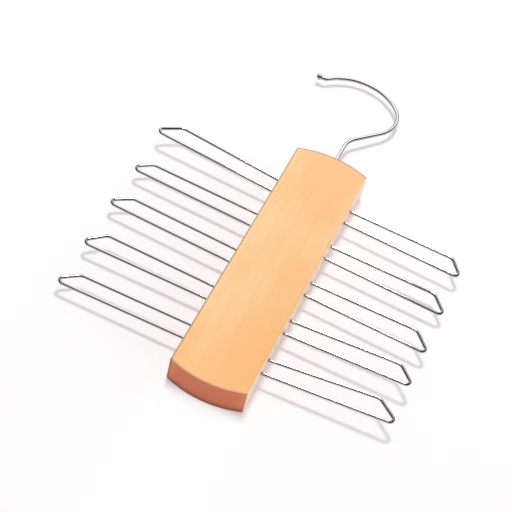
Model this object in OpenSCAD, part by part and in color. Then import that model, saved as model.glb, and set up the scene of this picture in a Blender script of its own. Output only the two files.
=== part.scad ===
// Tie hanger: a wooden board with five wire loops along each long edge and a swivelling wire hook.
// It lies on its back. X runs along the loops, Y along the board toward the hook, Z up.
// The origin is the middle of the board's back face.

/* [Board] */
// Width of the board, across its straight long edges
board_w = 50; // [40:1:80]
// Length of the board, from the crown of one bowed end to the crown of the other
board_l = 206; // [200:1:280]
// Thickness of the board
board_t = 21; // [14:1:30]
// How far each end bows out past its corners
end_bow = 5; // [2:0.2:10]
// Radius of the eased edges around both faces
edge_round = 1.4; // [0.5:0.1:3]

/* [Edge loops] */
// Number of loops on each long edge
loops_per_side = 5; // [2:1:6]
// Distance from one loop to the next
loop_pitch = 34; // [24:0.2:40]
// Shift of the middle of the row from the middle of the board
row_shift = 0; // [-4:0.2:4]
// Diameter of the loop wire
loop_wire_d = 2; // [1.2:0.1:2.6]
// Distance between the two legs of a loop, centre to centre
leg_gap = 11; // [8:0.1:16]
// Distance from the board's edge to the outside of the tip
loop_reach = 84; // [50:1:110]
// Angle of the slanted stretch to the legs
slant_angle = 39; // [30:1:60]
// Bend radius at the tip, on the wire's centreline
tip_bend_r = 2.3; // [1.6:0.1:3]
// Bend radius between the short leg and the slanted stretch
shoulder_bend_r = 6.5; // [3:0.5:9]
// How far each leg goes into the board
leg_depth = 14; // [8:1:16]

/* [Hook] */
// Diameter of the hook wire
hook_wire_d = 2.6; // [2:0.1:4]
// Straight shank from the board's end to the first bend
shank_out = 26; // [15:1:40]
// Bend radius between the shank and the leaning neck
neck_bend_r = 10.4; // [6:0.2:14]
// Angle between the neck and the shank
neck_angle = 41; // [35:1:55]
// Straight length of the neck
neck_l = 22.8; // [8:1:30]
// Radius of the bow's rising side
bow_side_r = 22; // [18:1:35]
// Angle that the rising side turns through
bow_side_angle = 87; // [85:1:95]
// Radius of the bow over the rail
bow_top_r = 35; // [20:1:40]
// Angle that the top turns through
bow_top_angle = 88; // [85:1:95]
// Radius of the lip that curves back outward
lip_r = 5; // [4:1:16]
// Angle that the lip turns through
lip_angle = 45; // [30:1:60]
// Straight end of the lip
lip_l = 2.6; // [1:0.2:6]
// Straight stretch between two bends of the bow
bow_straight_l = 1; // [0.5:0.1:4]
// Diameter of the ball on the end of the wire
ball_d = 4.4; // [3.8:0.1:7]

/* [Swivel] */
// Length of the steel sleeve in the board's end
sleeve_l = 16; // [10:1:24]
// Wall of the sleeve between its barbs
sleeve_wall = 1.9; // [1.2:0.1:3]
// Number of barb rings that grip the wood
barbs = 4; // [2:1:6]
// Height of a barb above the sleeve's wall
barb_h = 0.4; // [0.2:0.1:0.8]
// Share of the barb pitch that slopes
barb_slope = 0.7; // [0.3:0.05:0.9]
// Diameter of the upset head that keeps the shank in the sleeve
head_d = 5.2; // [4.4:0.1:6.4]
// Thickness of the upset head
head_t = 1.6; // [1:0.1:3]

/* [Fits] */
// Radial clearance of the shank in the sleeve
swivel_clear = 0.06; // [0.02:0.01:0.1]
// End play of the head behind the sleeve
head_play = 0.3; // [0.1:0.1:1]
// Room between the head and the bottom of the bore
head_room = 0.6; // [0.3:0.1:2]
// Radial gap between a pressed piece and its bore
seat_gap = 0.02; // [0.01:0.01:0.1]
// Gap between the end of a leg and the bottom of its bore
leg_end_gap = 0.3; // [0.1:0.1:1]

/* [Hidden] */
LEFT = -1;
RIGHT = 1;
sides = [LEFT, RIGHT];
rows = [1 : loops_per_side];

ring_faces = 160;
wire_faces = 40;
over = 1;
// A straight stretch of wire is this much thinner than a bend and runs this far into it.
splice_step = 0.005;
splice_lap = 0.05;

mid_z = board_t / 2;
end_r = (pow(end_bow, 2) + pow(board_w / 2, 2)) / (2 * end_bow);
end_y = board_l / 2;
end_centre_y = end_y - end_r;

half_turn = 180;
tip_angle = half_turn - slant_angle;
tip_rise = tip_bend_r * (1 - cos(tip_angle));
shoulder_rise = shoulder_bend_r * (1 - cos(slant_angle));
slant_l = (leg_gap - tip_rise - shoulder_rise) / sin(slant_angle);
long_leg_l = leg_depth + loop_reach - loop_wire_d / 2 - tip_bend_r;
slant_back = slant_l * cos(slant_angle);
shoulder_back = shoulder_bend_r * sin(slant_angle);
short_leg_l = long_leg_l + tip_bend_r * sin(tip_angle) - slant_back - shoulder_back;

shank_bore_d = hook_wire_d + 2 * swivel_clear;
sleeve_d = shank_bore_d + 2 * sleeve_wall;
barb_d = sleeve_d + 2 * barb_h;
barb_pitch = sleeve_l / (barbs + 1);
barb_slope_l = barb_slope * barb_pitch;
swivel_bore_d = barb_d + 2 * seat_gap;
swivel_bore_l = sleeve_l + head_play + head_t + head_room;
shank_in = sleeve_l + head_play;

function loop_name(side, row) = str(side == LEFT ? "loop_left_" : "loop_right_", row);

// Middle of a loop along the board; row 1 is the nearest to the hook.
function loop_y(row) = row_shift + loop_pitch * ((loops_per_side + 1) / 2 - row);

// One bend of a wire: part of a ring that starts at the origin along +X and turns left.
module wire_bend(d, r, angle) {
    translate([0, r, 0])
        rotate([0, 0, -90])
            rotate_extrude(angle = angle, $fn = ring_faces)
                translate([r, 0])
                    circle(d = d, $fn = wire_faces);
}

// A wire bent as on a bending bench. It starts at the origin along +X and stays in the XY plane.
// Each step is [straight length, bend radius, angle], and a positive angle turns left.
// Children are placed at the end of the wire.
module bent_wire(d, steps, done = 0) {
    length = steps[done][0];
    r = steps[done][1];
    angle = steps[done][2];
    lap_before = done > 0 ? splice_lap : 0;
    lap_after = angle != 0 ? splice_lap : 0;
    translate([-lap_before, 0, 0])
        rotate([0, 90, 0])
            cylinder(h = length + lap_before + lap_after, d = d - 2 * splice_step, $fn = wire_faces);
    translate([length, 0, 0]) {
        if (angle != 0)
            mirror([0, angle < 0 ? 1 : 0, 0])
                wire_bend(d, r, abs(angle));
        if (done + 1 < len(steps))
            translate([r * sin(abs(angle)), sign(angle) * r * (1 - cos(angle)), 0])
                rotate([0, 0, angle])
                    bent_wire(d, steps, done + 1)
                        children();
        else
            children();
    }
}

// A rectangle with rounded corners, centred on X and standing on Y = 0.
module rounded_section(w, h, r) {
    translate([-w / 2, r])
        square([w, h - 2 * r]);
    translate([-w / 2 + r, 0])
        square([w - 2 * r, h]);
    for (x = [-w / 2 + r, w / 2 - r], y = [r, h - r])
        translate([x, y])
            circle(r = r, $fn = wire_faces);
}

// The straight bar between the long edges, longer than the board.
module long_bar() {
    rotate([90, 0, 0])
        linear_extrude(height = board_l + 2 * over, center = true)
            rounded_section(board_w, board_t, edge_round);
}

// Half of a rectangle with rounded corners: from the Y axis out to its rounded edge.
module rim_section(w, h, r) {
    translate([0, r])
        square([w, h - 2 * r]);
    square([w - r, h]);
    for (y = [r, h - r])
        translate([w - r, y])
            circle(r = r, $fn = wire_faces);
}

// A disc whose rounded rim is the bowed end of the board.
module end_disc() {
    translate([0, end_centre_y, 0])
        rotate_extrude($fn = ring_faces)
            rim_section(end_r, board_t, edge_round);
}

// The plain board: the bar cut to length by the two discs, which a block joins between their centres.
module board_blank() {
    intersection() {
        long_bar();
        union() {
            end_disc();
            mirror([0, 1, 0])
                end_disc();
            translate([-board_w, -end_centre_y - over, 0])
                cube([2 * board_w, 2 * end_centre_y + 2 * over, board_t]);
        }
    }
}

// One blind bore for a leg, from the long edge on the given side.
module leg_bore(side, y) {
    depth = leg_depth + leg_end_gap;
    translate([side * (board_w / 2 - depth), y, mid_z])
        rotate([0, side * 90, 0])
            cylinder(h = depth + over, d = loop_wire_d + 2 * seat_gap, $fn = wire_faces);
}

module swivel_bore() {
    translate([0, end_y - swivel_bore_l, mid_z])
        rotate([-90, 0, 0])
            cylinder(h = swivel_bore_l + over, d = swivel_bore_d, $fn = wire_faces);
}

module wooden_board() {
    color("burlywood")
        difference() {
            board_blank();
            for (side = sides, row = rows, leg = [-1, 1])
                leg_bore(side, loop_y(row) + leg * leg_gap / 2);
            swivel_bore();
        }
}

// One loop: the long leg away from the hook, the tight tip, the slanted stretch and the short leg.
module edge_loop(side, row) {
    steps = [
        [long_leg_l, tip_bend_r, tip_angle],
        [slant_l, shoulder_bend_r, slant_angle],
        [short_leg_l, 0, 0]
    ];
    color("gainsboro")
        mirror([side == LEFT ? 1 : 0, 0, 0])
            translate([board_w / 2 - leg_depth, loop_y(row) - leg_gap / 2, mid_z])
                bent_wire(loop_wire_d, steps);
}

// One barb of the sleeve: it slopes out toward the board's end and drops back sharply.
function barb_points(y) = [
    [sleeve_d / 2, y - barb_slope_l],
    [barb_d / 2, y],
    [sleeve_d / 2, y]
];

// The sleeve's half section, with its inner end on Y = 0.
module sleeve_section() {
    bore_r = shank_bore_d / 2;
    polygon(concat(
        [[bore_r, 0], [sleeve_d / 2, 0]],
        [for (barb = [1 : barbs]) each barb_points(barb * barb_pitch)],
        [[sleeve_d / 2, sleeve_l], [bore_r, sleeve_l]]
    ));
}

module swivel_sleeve() {
    color("silver")
        translate([0, end_y - sleeve_l, mid_z])
            rotate([-90, 0, 0])
                rotate_extrude($fn = ring_faces)
                    sleeve_section();
}

// The head that is upset on the shank: it ends at the origin, and the shank goes on along +X.
module shank_head() {
    translate([-head_t, 0, 0])
        rotate([0, 90, 0])
            cylinder(h = head_t, d = head_d, $fn = wire_faces);
}

module hook() {
    rooted = head_t / 2;
    steps = [
        [rooted + shank_in + shank_out, neck_bend_r, -neck_angle],
        [neck_l, bow_side_r, bow_side_angle],
        [bow_straight_l, bow_top_r, bow_top_angle],
        [bow_straight_l, lip_r, -lip_angle],
        [lip_l, 0, 0]
    ];
    color("gainsboro")
        translate([0, end_y - shank_in, mid_z])
            rotate([0, 0, 90]) {
                shank_head();
                translate([-rooted, 0, 0])
                    bent_wire(hook_wire_d, steps)
                        sphere(d = ball_d, $fn = wire_faces);
            }
}

wooden_board();
for (side = sides, row = rows) {
    edge_loop(side, row);
}
swivel_sleeve();
hook();
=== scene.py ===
import math

import bmesh
import bpy
from mathutils import Matrix, Vector


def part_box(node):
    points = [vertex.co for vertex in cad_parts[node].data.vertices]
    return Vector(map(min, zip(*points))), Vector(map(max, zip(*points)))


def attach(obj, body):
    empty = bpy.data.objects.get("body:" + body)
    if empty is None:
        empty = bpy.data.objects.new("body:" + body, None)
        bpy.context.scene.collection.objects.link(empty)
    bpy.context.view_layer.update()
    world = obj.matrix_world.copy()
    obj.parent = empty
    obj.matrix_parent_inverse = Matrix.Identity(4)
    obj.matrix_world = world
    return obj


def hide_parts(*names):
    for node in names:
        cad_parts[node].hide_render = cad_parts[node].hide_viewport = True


# The tie hanger lies on its back on a white table: a wooden board, chromed wire loops and a wire hook.
# X runs along the loops, Y along the board toward the hook, and Z up out of the table. Metres.

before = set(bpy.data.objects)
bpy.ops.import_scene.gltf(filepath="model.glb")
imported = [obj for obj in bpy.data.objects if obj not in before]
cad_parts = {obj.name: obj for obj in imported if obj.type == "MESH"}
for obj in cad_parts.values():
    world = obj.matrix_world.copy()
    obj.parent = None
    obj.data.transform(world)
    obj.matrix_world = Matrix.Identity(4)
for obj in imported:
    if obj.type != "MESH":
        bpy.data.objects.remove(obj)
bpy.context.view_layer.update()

MM = 0.001

# The board, and the rows of bores in its long edges.
board_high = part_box("wooden_board")[1]
EDGE_X = board_high.x
END_Y = board_high.y
MID_Z = board_high.z / 2
END_BOW = 5.0 * MM
ROW_PITCH = 34.0 * MM
MIDDLE_ROW = 3
HALF_GAP = 5.5 * MM
IN_WOOD = 14.0 * MM

# The loops' wire.
LOOP_WIRE = 2.2 * MM
TIP_RADIUS = 2.4 * MM
SHOULDER_RADIUS = 6.2 * MM
ENTRY_RADIUS = 9.0 * MM

# The hook's wire, the head that holds it in the sleeve, and its ball.
HOOK_WIRE = 2.6 * MM
HOOK_DROOP = math.radians(3.0)
IN_SLEEVE = 16.3 * MM
HEAD_LENGTH = 1.6 * MM
HEAD_RADIUS = 2.6 * MM
BALL_RADIUS = 2.2 * MM

# How finely round things are drawn.
WIRE_SIDES = 24
HEAD_SIDES = 32
BALL_SIDES = 40
BALL_RINGS = 24
BEND_STEP = 6

# The loops were bent by hand, so no two are quite alike. For each: where its tip corner and its shoulder
# lie from the board's edge and from the loop's middle line, and how far its tip stands above the rest.
HAND_BENT = {
    "loop_left_1": ((90.8, -0.2), (73.4, 11.4), 3.1),
    "loop_left_2": ((90.2, -1.7), (76.6, 8.1), 0.0),
    "loop_left_3": ((91.3, -1.6), (75.2, 9.0), 0.0),
    "loop_left_4": ((89.3, -5.1), (75.7, 7.6), 0.0),
    "loop_left_5": ((90.6, -5.5), (75.7, 5.9), -1.0),
    "loop_right_1": ((82.7, -9.8), (72.7, 3.4), 0.9),
    "loop_right_2": ((84.1, -8.9), (72.1, 4.8), -0.6),
    "loop_right_3": ((84.9, -9.2), (72.0, 4.9), 0.9),
    "loop_right_4": ((85.1, -5.2), (72.3, 7.5), 3.9),
    "loop_right_5": ((86.4, -1.1), (69.9, 12.0), 3.5),
}

WHITE = (1, 1, 1, 1)
PALE_WOOD = (0.96, 0.62, 0.31, 1)
DEEP_WOOD = (0.94, 0.51, 0.205, 1)
HEART_WOOD = (0.95, 0.475, 0.150, 1)
RING_WOOD = (0.86, 0.47, 0.19, 1)
FLECK_WOOD = (0.60, 0.30, 0.12, 1)
# Painted sheen: the pale pink-cream laid on the long side faces, as if lit.
SIDE_SHEEN_WOOD = (1.0, 0.78, 0.62, 1)
BRUISE_AND_SHADE_WOOD = (0.30, 0.16, 0.08, 1)
CUT_PALE = (0.75, 0.190, 0.075, 1)
CUT_DEEP = (0.62, 0.13, 0.045, 1)
RIM_HIGHLIGHT = (1.0, 0.60, 0.31, 1)
TAN_BORDER = (0.42, 0.28, 0.19, 1)
END_SHADE = (0.16, 0.04, 0.03, 1)
CHROME = (0.425, 0.42, 0.415, 1)
DULL_CHROME = (0.35, 0.335, 0.32, 1)
STEEL = (0.55, 0.55, 0.54, 1)
DULL_STEEL = (0.42, 0.41, 0.39, 1)


def add_object(name, data):
    """A new object in the scene."""
    made = bpy.data.objects.new(name, data)
    bpy.context.scene.collection.objects.link(made)
    return made


def add_mesh(name, mesh, material):
    """A new object with the finished mesh and its material."""
    data = bpy.data.meshes.new(name)
    mesh.to_mesh(data)
    mesh.free()
    data.materials.append(material)
    return add_object(name, data)


def make_camera():
    """The photograph's viewpoint: far off, from the near end and a little to the right, tilted."""
    aim = Vector((-0.01565, 0.01591, 0.0))
    azimuth = math.radians(12.15)
    elevation = math.radians(49.92)
    roll = math.radians(14.76)
    distance = 1.0803
    back = Vector((
        math.sin(azimuth) * math.cos(elevation),
        -math.cos(azimuth) * math.cos(elevation),
        math.sin(elevation),
    ))
    data = bpy.data.cameras.new("camera")
    data.sensor_width = 36
    data.lens = 119.53
    data.clip_start = 0.05
    data.clip_end = 20
    camera = add_object("camera", data)
    turn = (-back).to_track_quat("-Z", "Y").to_matrix() @ Matrix.Rotation(roll, 3, "Z")
    camera.matrix_world = Matrix.Translation(aim + distance * back) @ turn.to_4x4()
    bpy.context.scene.camera = camera


def add_node(tree, kind, inputs=(), **settings):
    """A shader node with its settings, and with its inputs joined to sockets or set to values."""
    node = tree.nodes.new(kind)
    for name, value in settings.items():
        setattr(node, name, value)
    for name, value in dict(inputs).items():
        if isinstance(value, bpy.types.NodeSocket):
            tree.links.new(value, node.inputs[name])
        else:
            node.inputs[name].default_value = value
    return node


def calc(tree, operation, *values, clamp=False):
    """The result of one Math node."""
    node = add_node(tree, "ShaderNodeMath", enumerate(values), operation=operation, use_clamp=clamp)
    return node.outputs[0]


def times(tree, value, other):
    """The two values multiplied."""
    return calc(tree, "MULTIPLY", value, other)


def between(tree, value, low, high, out_low=0.0, out_high=1.0):
    """The value taken smoothly from low..high to out_low..out_high."""
    inputs = {"Value": value, "From Min": low, "From Max": high, "To Min": out_low, "To Max": out_high}
    return add_node(tree, "ShaderNodeMapRange", inputs, interpolation_type="SMOOTHSTEP").outputs["Result"]


def fading(tree, value, low, high):
    """1 up to low, smoothly down to 0 at high."""
    return between(tree, value, low, high, 1.0, 0.0)


def tint(tree, share, colour_a, colour_b):
    """Colour a where the share is 0, and colour b where it is 1."""
    return add_node(tree, "ShaderNodeMix", {0: share, 6: colour_a, 7: colour_b}, data_type="RGBA").outputs[2]


def layered(tree, colour, layers):
    """The colour with each layer's share of its own colour laid over it in turn."""
    for share, over in layers:
        colour = tint(tree, share, colour, over)
    return colour


def noise(tree, vector, scale, detail, roughness=0.5):
    """The value of a noise texture."""
    inputs = {"Vector": vector, "Scale": scale, "Detail": detail, "Roughness": roughness}
    return add_node(tree, "ShaderNodeTexNoise", inputs).outputs["Fac"]


def drawn_out(tree, vector, scale, detail, roughness=0.5):
    """The value of a noise texture with its own scale on each axis."""
    stretched = add_node(tree, "ShaderNodeMapping", {"Vector": vector, "Scale": scale}).outputs["Vector"]
    return noise(tree, stretched, 1.0, detail, roughness)


def axes(tree, vector):
    """The vector's X, Y and Z."""
    return add_node(tree, "ShaderNodeSeparateXYZ", {"Vector": vector}).outputs


def sum_of_squares(tree, value, other):
    """Both values squared and added."""
    return calc(tree, "ADD", times(tree, value, value), times(tree, other, other))


def new_group(name, inputs, outputs):
    """An empty shader group with float or vector inputs and float outputs, and its two end nodes."""
    group = bpy.data.node_groups.new(name, "ShaderNodeTree")
    for label, value in inputs.items():
        kind = "NodeSocketVector" if value is None else "NodeSocketFloat"
        socket = group.interface.new_socket(label, in_out="INPUT", socket_type=kind)
        if value is not None:
            socket.default_value = value
    for label in outputs:
        group.interface.new_socket(label, in_out="OUTPUT", socket_type="NodeSocketFloat")
    return group, group.nodes.new("NodeGroupInput").outputs, group.nodes.new("NodeGroupOutput").inputs


def use_group(tree, group, inputs):
    """A group placed in a material with its own values."""
    return add_node(tree, "ShaderNodeGroup", inputs, node_tree=group).outputs


def blank_material(name):
    """A material with nothing in its tree, and the tree."""
    material = bpy.data.materials.new(name)
    material.use_nodes = True
    material.node_tree.nodes.clear()
    return material, material.node_tree


def new_material(name):
    """A material with a Principled shader, its tree, and the piece's own coordinates."""
    material, tree = blank_material(name)
    shader = tree.nodes.new("ShaderNodeBsdfPrincipled")
    add_node(tree, "ShaderNodeOutputMaterial", {"Surface": shader.outputs["BSDF"]})
    place = tree.nodes.new("ShaderNodeTexCoord").outputs
    return material, tree, shader, place


def wear_group():
    """Fine hairlines and a few dull spots from handling."""
    group, given, made = new_group(
        "handling_wear", {"Place": None, "Size": 1.0, "Hairlines": 0.5}, ("Dulling",)
    )
    sized = {0: given["Place"], "Scale": given["Size"]}
    place = add_node(group, "ShaderNodeVectorMath", sized, operation="SCALE").outputs[0]
    hairlines = between(group, drawn_out(group, place, (2600, 90, 2600), 2.0), 0.62, 0.74)
    spots = between(group, noise(group, place, 320.0, 3.0), 0.58, 0.80)
    both = calc(group, "ADD", times(group, hairlines, given["Hairlines"]), spots, clamp=True)
    group.links.new(both, made["Dulling"])
    return group


def grown_wood_group():
    """Growth rings round a pith below the board, with streaks, flecks and a slow drift of tone."""
    group, given, made = new_group(
        "grown_wood",
        {"Place": None, "Ring gap": 3.2 * MM, "Pith x": 30 * MM, "Pith z": -75 * MM},
        ("Rings", "Streaks", "Flecks", "Drift"),
    )
    place = given["Place"]
    spot = axes(group, place)
    across = calc(group, "SUBTRACT", spot["X"], given["Pith x"])
    up = calc(group, "SUBTRACT", spot["Z"], given["Pith z"])
    from_pith = calc(group, "SQRT", sum_of_squares(group, across, up))
    wander = drawn_out(group, place, (14, 4.5, 14), 1.0)
    wandering = calc(group, "MULTIPLY_ADD", wander, 16 * MM, from_pith)
    year = calc(group, "FRACT", calc(group, "DIVIDE", wandering, given["Ring gap"]))
    rings = times(group, between(group, year, 0.55, 0.97), fading(group, year, 0.97, 1.0))
    streaks = drawn_out(group, place, (620, 9, 620), 3.0, 0.6)
    flecks = between(group, drawn_out(group, place, (900, 260, 900), 1.0), 0.68, 0.78)
    drift = drawn_out(group, place, (28, 11, 28), 3.0)
    for label, value in (("Rings", rings), ("Streaks", streaks), ("Flecks", flecks), ("Drift", drift)):
        group.links.new(value, made[label])
    return group


handling_wear = wear_group()
grown_wood = grown_wood_group()


def around_bores(tree, spot):
    """Where the wood round the loops' twenty bores is bruised and painted with shade in the gap round each
    wire: 1 at a bore's rim, fading out beyond it.
    """
    from_row = calc(tree, "ABSOLUTE", calc(tree, "WRAP", spot["Y"], ROW_PITCH / 2, -ROW_PITCH / 2))
    along = calc(tree, "SUBTRACT", from_row, HALF_GAP)
    up = calc(tree, "SUBTRACT", spot["Z"], MID_Z)
    rings = fading(tree, calc(tree, "SQRT", sum_of_squares(tree, along, up)), 1.2 * MM, 2.3 * MM)
    in_rows = fading(tree, calc(tree, "ABSOLUTE", spot["Y"]), 2.3 * ROW_PITCH, 2.5 * ROW_PITCH)
    return times(tree, rings, in_rows)


def wood_material():
    """Pale lacquered hardwood: redder end grain, a painted highlight on the near rim, a painted sheen on the
    long sides, a tan border, painted shade on the ends along the bottom and the left edge, and bores that
    are bruised and painted with shade.
    """
    material, tree, shader, place = new_material("lacquered_wood")
    wood = use_group(tree, grown_wood, {"Place": place["Object"]})
    wear = use_group(tree, handling_wear, {"Place": place["Object"], "Size": 0.5})
    facing = axes(tree, place["Normal"])
    spot = axes(tree, place["Object"])
    endward = calc(tree, "ABSOLUTE", facing["Y"])
    upward = between(tree, facing["Z"], 0.20, 0.45)
    long_edge = between(tree, calc(tree, "ABSOLUTE", facing["X"]), 0.55, 0.95)

    # The face and the long edges, warmer toward the near right; the long edges are painted paler, a painted
    # sheen.
    toward_near = calc(tree, "MULTIPLY_ADD", spot["Y"], -1.0, times(tree, spot["X"], 2.2))
    streaks = between(tree, wood["Streaks"], 0.45, 0.7)
    bruise_and_shade = times(tree, around_bores(tree, spot), long_edge)
    face = layered(tree, PALE_WOOD, (
        (between(tree, wood["Drift"], 0.35, 0.65), DEEP_WOOD),
        (between(tree, toward_near, -40 * MM, 150 * MM), HEART_WOOD),
        (times(tree, wood["Rings"], 0.18), RING_WOOD),
        (times(tree, streaks, 0.16), RING_WOOD),
        (times(tree, wood["Flecks"], 0.3), FLECK_WOOD),
        # Painted sheen: the long side faces painted pale, as if they caught light.
        (times(tree, long_edge, 0.9), SIDE_SHEEN_WOOD),
        # Crushed fibres and painted shade darken each bore's rim.
        (times(tree, bruise_and_shade, 0.4), BRUISE_AND_SHADE_WOOD),
    ))

    # The sawn ends.
    pores = between(tree, drawn_out(tree, place["Object"], (2400, 300, 2400), 2.0), 0.5, 0.7)
    cut_share = calc(tree, "MULTIPLY_ADD", pores, 0.3, times(tree, wood["Rings"], 0.3))
    cut = tint(tree, cut_share, CUT_PALE, CUT_DEEP)

    # The near rim painted lighter as a painted highlight, the border along the far end and the left edge,
    # and painted shade on the ends, darker towards the bottom and along the left edge.
    # Painted highlight: the rounded near rim painted light peach, as an edge catching light.
    near_rim_highlight = times(tree, between(tree, facing["Y"], -0.5, -0.15, 0.9, 0.0), upward)
    bow = times(tree, times(tree, spot["X"], spot["X"]), END_BOW / EDGE_X**2)
    past_end = calc(tree, "ADD", spot["Y"], calc(tree, "SUBTRACT", bow, END_Y))
    past_edge = calc(tree, "SUBTRACT", times(tree, spot["X"], -1.0), EDGE_X + 0.8 * MM)
    past_rim = calc(tree, "MAXIMUM", past_end, past_edge)
    border = times(tree, between(tree, past_rim, -2.3 * MM, -1.2 * MM, 0.0, 0.9), upward)
    # Painted shade: the end faces darken towards the bottom and along the left edge.
    low = between(tree, spot["Z"], 0.5 * MM, 6.5 * MM, 0.9, 0.0)
    left = between(tree, spot["X"], -EDGE_X + 0.5 * MM, -EDGE_X + 1.6 * MM, 0.8, 0.0)
    end_shade = times(tree, calc(tree, "MAXIMUM", low, left), between(tree, endward, 0.05, 0.3))
    colour = layered(tree, face, (
        (between(tree, endward, 0.86, 0.96), cut),
        (near_rim_highlight, RIM_HIGHLIGHT),
        (border, TAN_BORDER),
        (times(tree, end_shade, 0.85), END_SHADE),
    ))
    tree.links.new(colour, shader.inputs["Base Color"])

    rough = between(tree, wear["Dulling"], 0.0, 1.0, 0.42, 0.6)
    tree.links.new(rough, shader.inputs["Roughness"])
    shader.inputs["Specular IOR Level"].default_value = 0.35
    shader.inputs["Coat Weight"].default_value = 0.12
    shader.inputs["Coat Roughness"].default_value = 0.12
    height = calc(tree, "MULTIPLY_ADD", wood["Flecks"], -0.6, times(tree, wood["Streaks"], 0.4))
    bump = add_node(tree, "ShaderNodeBump", {"Strength": 0.35, "Distance": 0.05 * MM, "Height": height})
    tree.links.new(bump.outputs["Normal"], shader.inputs["Normal"])
    return material


def metal_material(name, size, dulling, clean, dull, smoothest, roughest):
    """Handled metal: how large its wear is, how much it dulls, its two colours and its roughness."""
    material, tree, shader, place = new_material(name)
    wear = use_group(tree, handling_wear, {"Place": place["Object"], "Size": size})
    shader.inputs["Metallic"].default_value = 1.0
    colour = tint(tree, times(tree, wear["Dulling"], dulling), clean, dull)
    tree.links.new(colour, shader.inputs["Base Color"])
    rough = between(tree, wear["Dulling"], 0.0, 1.0, smoothest, roughest)
    tree.links.new(rough, shader.inputs["Roughness"])
    return material


def coat(piece, material):
    """Gives a CAD piece its material in place of the one it came with."""
    piece.data.materials.clear()
    piece.data.materials.append(material)


def only(kind, parts):
    """The mesh parts of one kind."""
    return [part for part in parts if isinstance(part, kind)]


def straight_between(mesh, rim, way):
    """Draws the wire's open rim along a straight, and gives the new rim."""
    drawn = bmesh.ops.extrude_edge_only(mesh, edges=rim)["geom"]
    moved = only(bmesh.types.BMVert, drawn)
    bmesh.ops.translate(mesh, verts=moved, vec=way)
    return [edge for edge in only(bmesh.types.BMEdge, drawn) if set(edge.verts) <= set(moved)]


def bent_wire(start, heading, steps, diameter):
    """A wire as it comes off a bending bench: drawn along each straight and spun round each bend.

    Each step is a straight length, a bend radius, a bend angle and the axis that the bend turns about.
    Gives the mesh and the wire's far end.
    """
    mesh = bmesh.new()
    point = Vector(start)
    heading = Vector(heading)
    facing = heading.to_track_quat("Z", "Y").to_matrix().to_4x4()
    place = Matrix.Translation(point) @ facing
    bmesh.ops.create_circle(mesh, cap_ends=True, segments=WIRE_SIDES, radius=diameter / 2, matrix=place)
    rim = list(mesh.edges)
    for length, radius, angle, axis in steps:
        if length > 0:
            rim = straight_between(mesh, rim, heading * length)
            point = point + heading * length
        if angle > 0:
            centre = point + radius * axis.cross(heading)
            count = max(2, round(math.degrees(angle) / BEND_STEP))
            ends = list({corner for side in rim for corner in side.verts})
            spun = bmesh.ops.spin(
                mesh, geom=ends + rim, cent=centre, axis=axis, angle=angle, steps=count, dvec=(0, 0, 0)
            )
            rim = only(bmesh.types.BMEdge, spun["geom_last"])
            turn = Matrix.Rotation(angle, 3, axis)
            point = centre + turn @ (point - centre)
            heading = turn @ heading
    bmesh.ops.edgeloop_fill(mesh, edges=rim)
    return mesh, point


def steps_through(corners, radii):
    """The bending steps that take a wire through these corners."""
    steps = []
    used = 0.0
    for before, corner, after, radius in zip(corners, corners[1:], corners[2:], radii):
        arriving = (corner - before).normalized()
        leaving = (after - corner).normalized()
        angle = arriving.angle(leaving)
        reach = radius * math.tan(angle / 2)
        straight = (corner - before).length - used - reach
        steps.append((straight, radius, angle, arriving.cross(leaving).normalized()))
        used = reach
    steps.append(((corners[-1] - corners[-2]).length - used, 0.0, 0.0, None))
    return steps


def finish_piece(name, mesh, material, body, node):
    """Makes the finished mesh a piece that rides on a body in place of a CAD node."""
    bmesh.ops.recalc_face_normals(mesh, faces=mesh.faces)
    for face in mesh.faces:
        # Only the wires' cut ends and the head's two faces have this many corners, and they stay flat.
        face.smooth = len(face.verts) < 6
    piece = add_mesh(name, mesh, material)
    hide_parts(node)
    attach(piece, body)


def make_loop(node, material):
    """One hand-bent loop: both legs go straight into their bores and lean as the real ones do."""
    tip, shoulder, lift = HAND_BENT[node]
    side = -1 if "left" in node else 1
    middle = ROW_PITCH * (MIDDLE_ROW - int(node[-1]))
    slope = lift / tip[0]

    def spot(out, along):
        return Vector((side * (EDGE_X + out * MM), middle + along * MM, MID_Z + max(out, 0) * slope * MM))

    deep = -IN_WOOD / MM
    half = HALF_GAP / MM
    corners = [
        spot(deep, -half),
        spot(0, -half),
        spot(*tip),
        spot(*shoulder),
        spot(0, half),
        spot(deep, half),
    ]
    radii = (ENTRY_RADIUS, TIP_RADIUS, SHOULDER_RADIUS, ENTRY_RADIUS)
    mesh = bent_wire(corners[0], (side, 0, 0), steps_through(corners, radii), LOOP_WIRE)[0]
    finish_piece(node + "_wire", mesh, material, "board", node)


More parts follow.
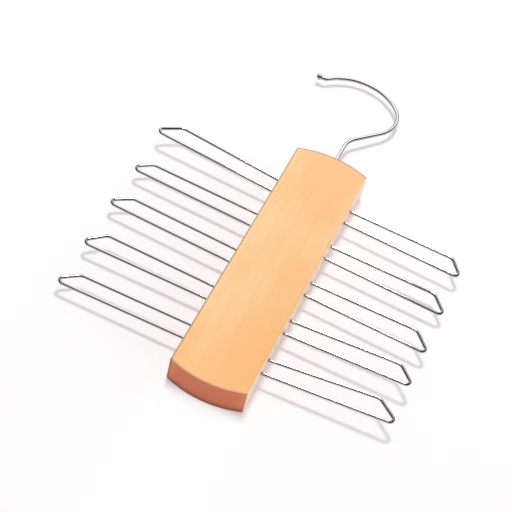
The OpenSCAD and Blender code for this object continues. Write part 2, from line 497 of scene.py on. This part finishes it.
def make_hook(material):
    """The hook: headed shank, leaning neck, round bow and curved lip with its ball. It droops a little."""
    across = Vector((1, 0, 0))
    up = Matrix.Rotation(-HOOK_DROOP, 3, across) @ Vector((0, 0, 1))
    down = -up
    shank = (IN_SLEEVE + 1.0 * MM, 20.0 * MM, HOOK_DROOP, -across)
    neck = (21.8 * MM, 15.0 * MM, math.radians(41), down)
    bow_side = (21.1 * MM, 22.0 * MM, math.radians(87), up)
    bow_top = (1.0 * MM, 35.0 * MM, math.radians(88), up)
    lip = (1.0 * MM, 5.0 * MM, math.radians(45), down)
    lip_end = (2.6 * MM, 0.0, 0.0, None)
    start = Vector((0, END_Y - IN_SLEEVE, MID_Z))
    steps = (shank, neck, bow_side, bow_top, lip, lip_end)
    mesh, point = bent_wire(start, (0, 1, 0), steps, HOOK_WIRE)
    at_point = Matrix.Translation(point)
    bmesh.ops.create_uvsphere(
        mesh, u_segments=BALL_SIDES, v_segments=BALL_RINGS, radius=BALL_RADIUS, matrix=at_point
    )
    behind = start - Vector((0, HEAD_LENGTH / 2, 0))
    bmesh.ops.create_cone(
        mesh,
        cap_ends=True,
        segments=HEAD_SIDES,
        radius1=HEAD_RADIUS,
        radius2=HEAD_RADIUS,
        depth=HEAD_LENGTH,
        matrix=Matrix.Translation(behind) @ Matrix.Rotation(math.pi / 2, 4, "X"),
    )
    finish_piece("hook_wire", mesh, material, "hook", "hook")


def flat_sheet(place):
    """The mesh of one flat sheet, 2 m square before it is placed."""
    mesh = bmesh.new()
    bmesh.ops.create_grid(mesh, x_segments=1, y_segments=1, size=1.0, matrix=place)
    return mesh


def make_table():
    """The white table, on which only shadows show. Under the near end it glows white, a painted light that
    washes out the board's shadow there; far off all round it glows white as well.
    """
    material, tree = blank_material("white_table")
    place = tree.nodes.new("ShaderNodeTexCoord").outputs["Object"]
    spot = axes(tree, place)
    # Painted light: a white glow under the near end that washes out the board's shadow there.
    near = fading(tree, spot["Y"], -END_Y - 4 * MM, -END_Y + 6 * MM)
    below = fading(tree, calc(tree, "ABSOLUTE", spot["X"]), EDGE_X, EDGE_X + 15 * MM)
    away = add_node(tree, "ShaderNodeVectorMath", {0: place}, operation="LENGTH").outputs["Value"]
    far_off = between(tree, away, 0.25, 0.60)
    white_glow_share = calc(tree, "MAXIMUM", times(tree, times(tree, near, below), 0.85), far_off)

    lit = add_node(tree, "ShaderNodeBsdfDiffuse", {"Color": (0.86, 0.86, 0.86, 1)})
    shaded = add_node(tree, "ShaderNodeBsdfDiffuse", {"Color": (0.78, 0.86, 0.83, 1)})
    glow = add_node(tree, "ShaderNodeEmission", {"Color": (0.27, 0.17, 0.215, 1), "Strength": 1.0})
    white_glow = add_node(tree, "ShaderNodeEmission", {"Color": WHITE, "Strength": 1.0})
    seen = add_node(tree, "ShaderNodeAddShader", {0: shaded.outputs[0], 1: glow.outputs[0]})
    seen = add_node(tree, "ShaderNodeMixShader", {0: white_glow_share, 1: seen.outputs[0], 2: white_glow.outputs[0]})
    path = tree.nodes.new("ShaderNodeLightPath").outputs
    straight = calc(tree, "MAXIMUM", path["Is Camera Ray"], path["Is Glossy Ray"])
    straight = calc(tree, "MAXIMUM", straight, path["Is Transmission Ray"])
    mix = add_node(tree, "ShaderNodeMixShader", {0: straight, 1: lit.outputs[0], 2: seen.outputs[0]})
    add_node(tree, "ShaderNodeOutputMaterial", {"Surface": mix.outputs[0]})
    table = add_mesh("table", flat_sheet(Matrix.Diagonal((3.0, 3.0, 1, 1))), material)


def make_room():
    """What lies round the table: for metal a dim ceiling, a skylight and a white backdrop, and even fill."""
    world = bpy.data.worlds.new("studio")
    bpy.context.scene.world = world
    world.use_nodes = True
    tree = world.node_tree
    tree.nodes.clear()
    way = axes(tree, tree.nodes.new("ShaderNodeTexCoord").outputs["Generated"])

    sky_across = times(tree, between(tree, way["X"], -0.30, -0.24), fading(tree, way["X"], -0.12, 0.06))
    sky_along = times(tree, between(tree, way["Y"], -0.26, -0.08), between(tree, way["Z"], 0.10, 0.30))
    backdrop = times(tree, between(tree, way["Y"], 0.30, 0.60), fading(tree, way["Z"], 0.15, 0.40))
    walls = layered(tree, (0.065, 0.06, 0.06, 1), (
        (times(tree, sky_across, sky_along), (2.35, 2.35, 2.35, 1)),
        (calc(tree, "MAXIMUM", backdrop, fading(tree, way["Z"], 0.02, 0.10)), WHITE),
    ))
    mirrored = add_node(tree, "ShaderNodeBackground", {"Color": walls, "Strength": 1.0})

    beside = times(tree, between(tree, way["X"], 0.20, 0.70), fading(tree, way["Z"], 0.35, 0.60))
    even = tint(tree, beside, (0.90, 0.90, 0.90, 1), (2.2, 2.15, 2.15, 1))
    fill = add_node(tree, "ShaderNodeBackground", {"Color": even, "Strength": 0.585})

    white = add_node(tree, "ShaderNodeBackground", {"Color": WHITE, "Strength": 1.0})
    path = tree.nodes.new("ShaderNodeLightPath").outputs
    glossy = path["Is Glossy Ray"]
    room = add_node(tree, "ShaderNodeMixShader", {0: glossy, 1: fill.outputs[0], 2: mirrored.outputs[0]})
    straight = calc(tree, "MAXIMUM", path["Is Camera Ray"], path["Is Transmission Ray"])
    mix = add_node(tree, "ShaderNodeMixShader", {0: straight, 1: room.outputs[0], 2: white.outputs[0]})
    add_node(tree, "ShaderNodeOutputWorld", {"Surface": mix.outputs[0]})


def make_lamp():
    """One soft round lamp, high up and a little beyond the hook."""
    toward = Vector((-0.085, 0.283, 0.95)).normalized()
    distance = 1.6
    data = bpy.data.lights.new("softbox", "AREA")
    data.shape = "DISK"
    data.size = 0.30
    data.energy = 10.6
    lamp = add_object("softbox", data)
    facing = toward.to_track_quat("Z", "Y").to_matrix().to_4x4()
    lamp.matrix_world = Matrix.Translation(toward * distance) @ facing


def make_card():
    """A white card over the hook, which only its chrome shows."""
    material, tree = blank_material("white_card")
    glow = add_node(tree, "ShaderNodeEmission", {"Color": WHITE, "Strength": 2.4})
    add_node(tree, "ShaderNodeOutputMaterial", {"Surface": glow.outputs[0]})
    place = Matrix.Translation((-0.05, 0.275, 0.13)) @ Matrix.Diagonal((0.15, 0.09, 1, 1))
    card = add_mesh("card", flat_sheet(place), material)
    card.visible_camera = False
    card.visible_diffuse = False
    card.visible_transmission = False
    card.visible_shadow = False


make_camera()
make_table()
make_room()
make_lamp()
make_card()

coat(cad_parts["wooden_board"], wood_material())
coat(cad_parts["swivel_sleeve"], metal_material("turned_steel", 2.0, 1.0, STEEL, DULL_STEEL, 0.28, 0.5))
chrome = metal_material("bright_chrome", 1.0, 0.25, CHROME, DULL_CHROME, 0.04, 0.12)
for node in HAND_BENT:
    make_loop(node, chrome)
make_hook(chrome)

bpy.context.scene.view_settings.view_transform = "Standard"
